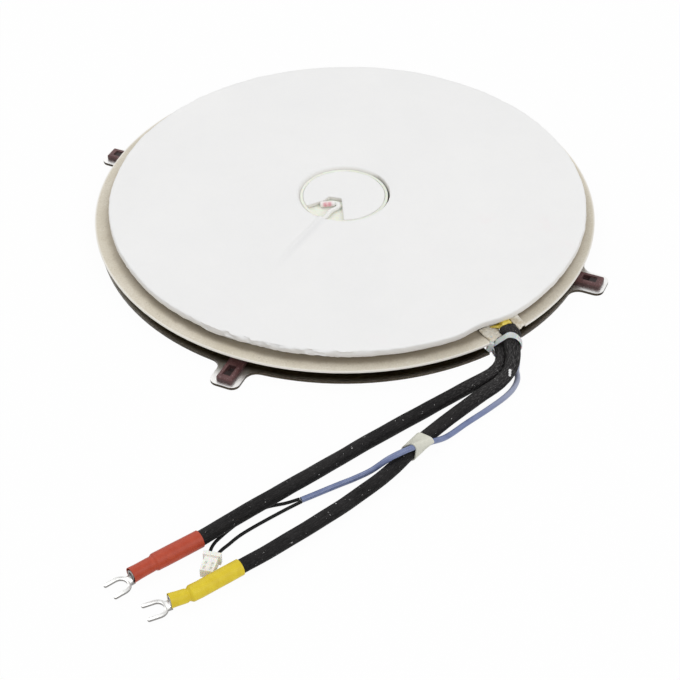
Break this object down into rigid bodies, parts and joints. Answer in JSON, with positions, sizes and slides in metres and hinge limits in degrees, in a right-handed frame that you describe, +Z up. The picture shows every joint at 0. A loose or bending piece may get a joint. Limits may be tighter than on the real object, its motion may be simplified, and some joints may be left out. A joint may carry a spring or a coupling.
{
  "type": "induction hob coil",
  "caption": "Flat round induction coil under a white fibre blanket on an aluminium carrier with ears, with fork ended leads and a sensor plug.",
  "frame": {"origin": "centre of the carrier plate's underside, which is the surface that the coil rests on", "axes": "+Z up out of the winding toward the hob's glass, ears on the diagonals, leads leaving toward -Y"},
  "size_m": [0.2668, 0.3011, 0.0142],
  "materials": {
    "aluminium_plate": "bright rolled",
    "maroon_plastic": "moulded",
    "ferrite": "fired, matt",
    "mica_board": "matt laminate",
    "litz_wire": "enamelled copper strands",
    "ceramic_fibre": "soft felt",
    "ivory_plastic": "moulded",
    "sensor_bead": "smooth",
    "white_sleeve": "woven glass",
    "cream_packing": "folded felt",
    "yellow_tape": "film tape",
    "black_sleeve": "matt rubber",
    "red_shrink": "satin",
    "yellow_shrink": "satin",
    "tinned_copper": "dull plated",
    "nylon": "translucent moulded",
    "blue_sleeve": "smooth",
    "black_wire": "smooth",
    "white_plastic": "moulded",
    "pale_tape": "wound tape"
  },
  "bodies": {
    "root": {"carrier_plate": "aluminium_plate", "ear_block_1": "maroon_plastic", "ear_block_2": "maroon_plastic", "ear_block_3": "maroon_plastic", "ear_block_4": "maroon_plastic", "ferrite_bar_1": "ferrite", "ferrite_bar_2": "ferrite", "ferrite_bar_3": "ferrite", "ferrite_bar_4": "ferrite", "ferrite_bar_5": "ferrite", "ferrite_bar_6": "ferrite", "ferrite_bar_7": "ferrite", "ferrite_bar_8": "ferrite", "base_board": "mica_board", "winding": "litz_wire", "fibre_blanket": "ceramic_fibre", "sensor_seat": "ivory_plastic", "centre_pad": "ceramic_fibre", "temperature_sensor": "sensor_bead", "sensor_lead": "white_sleeve", "exit_packing": "cream_packing", "exit_tape": "yellow_tape", "power_lead_red": "black_sleeve", "power_lead_yellow": "black_sleeve", "shrink_red": "red_shrink", "shrink_yellow": "yellow_shrink", "fork_terminal_red": "tinned_copper", "fork_terminal_yellow": "tinned_copper", "cable_tie": "nylon", "sensor_cable_sleeve": "blue_sleeve", "sensor_wire_1": "black_wire", "sensor_wire_2": "black_wire", "sensor_connector": "white_plastic", "tape_band": "pale_tape"}
  },
  "joints": []
}
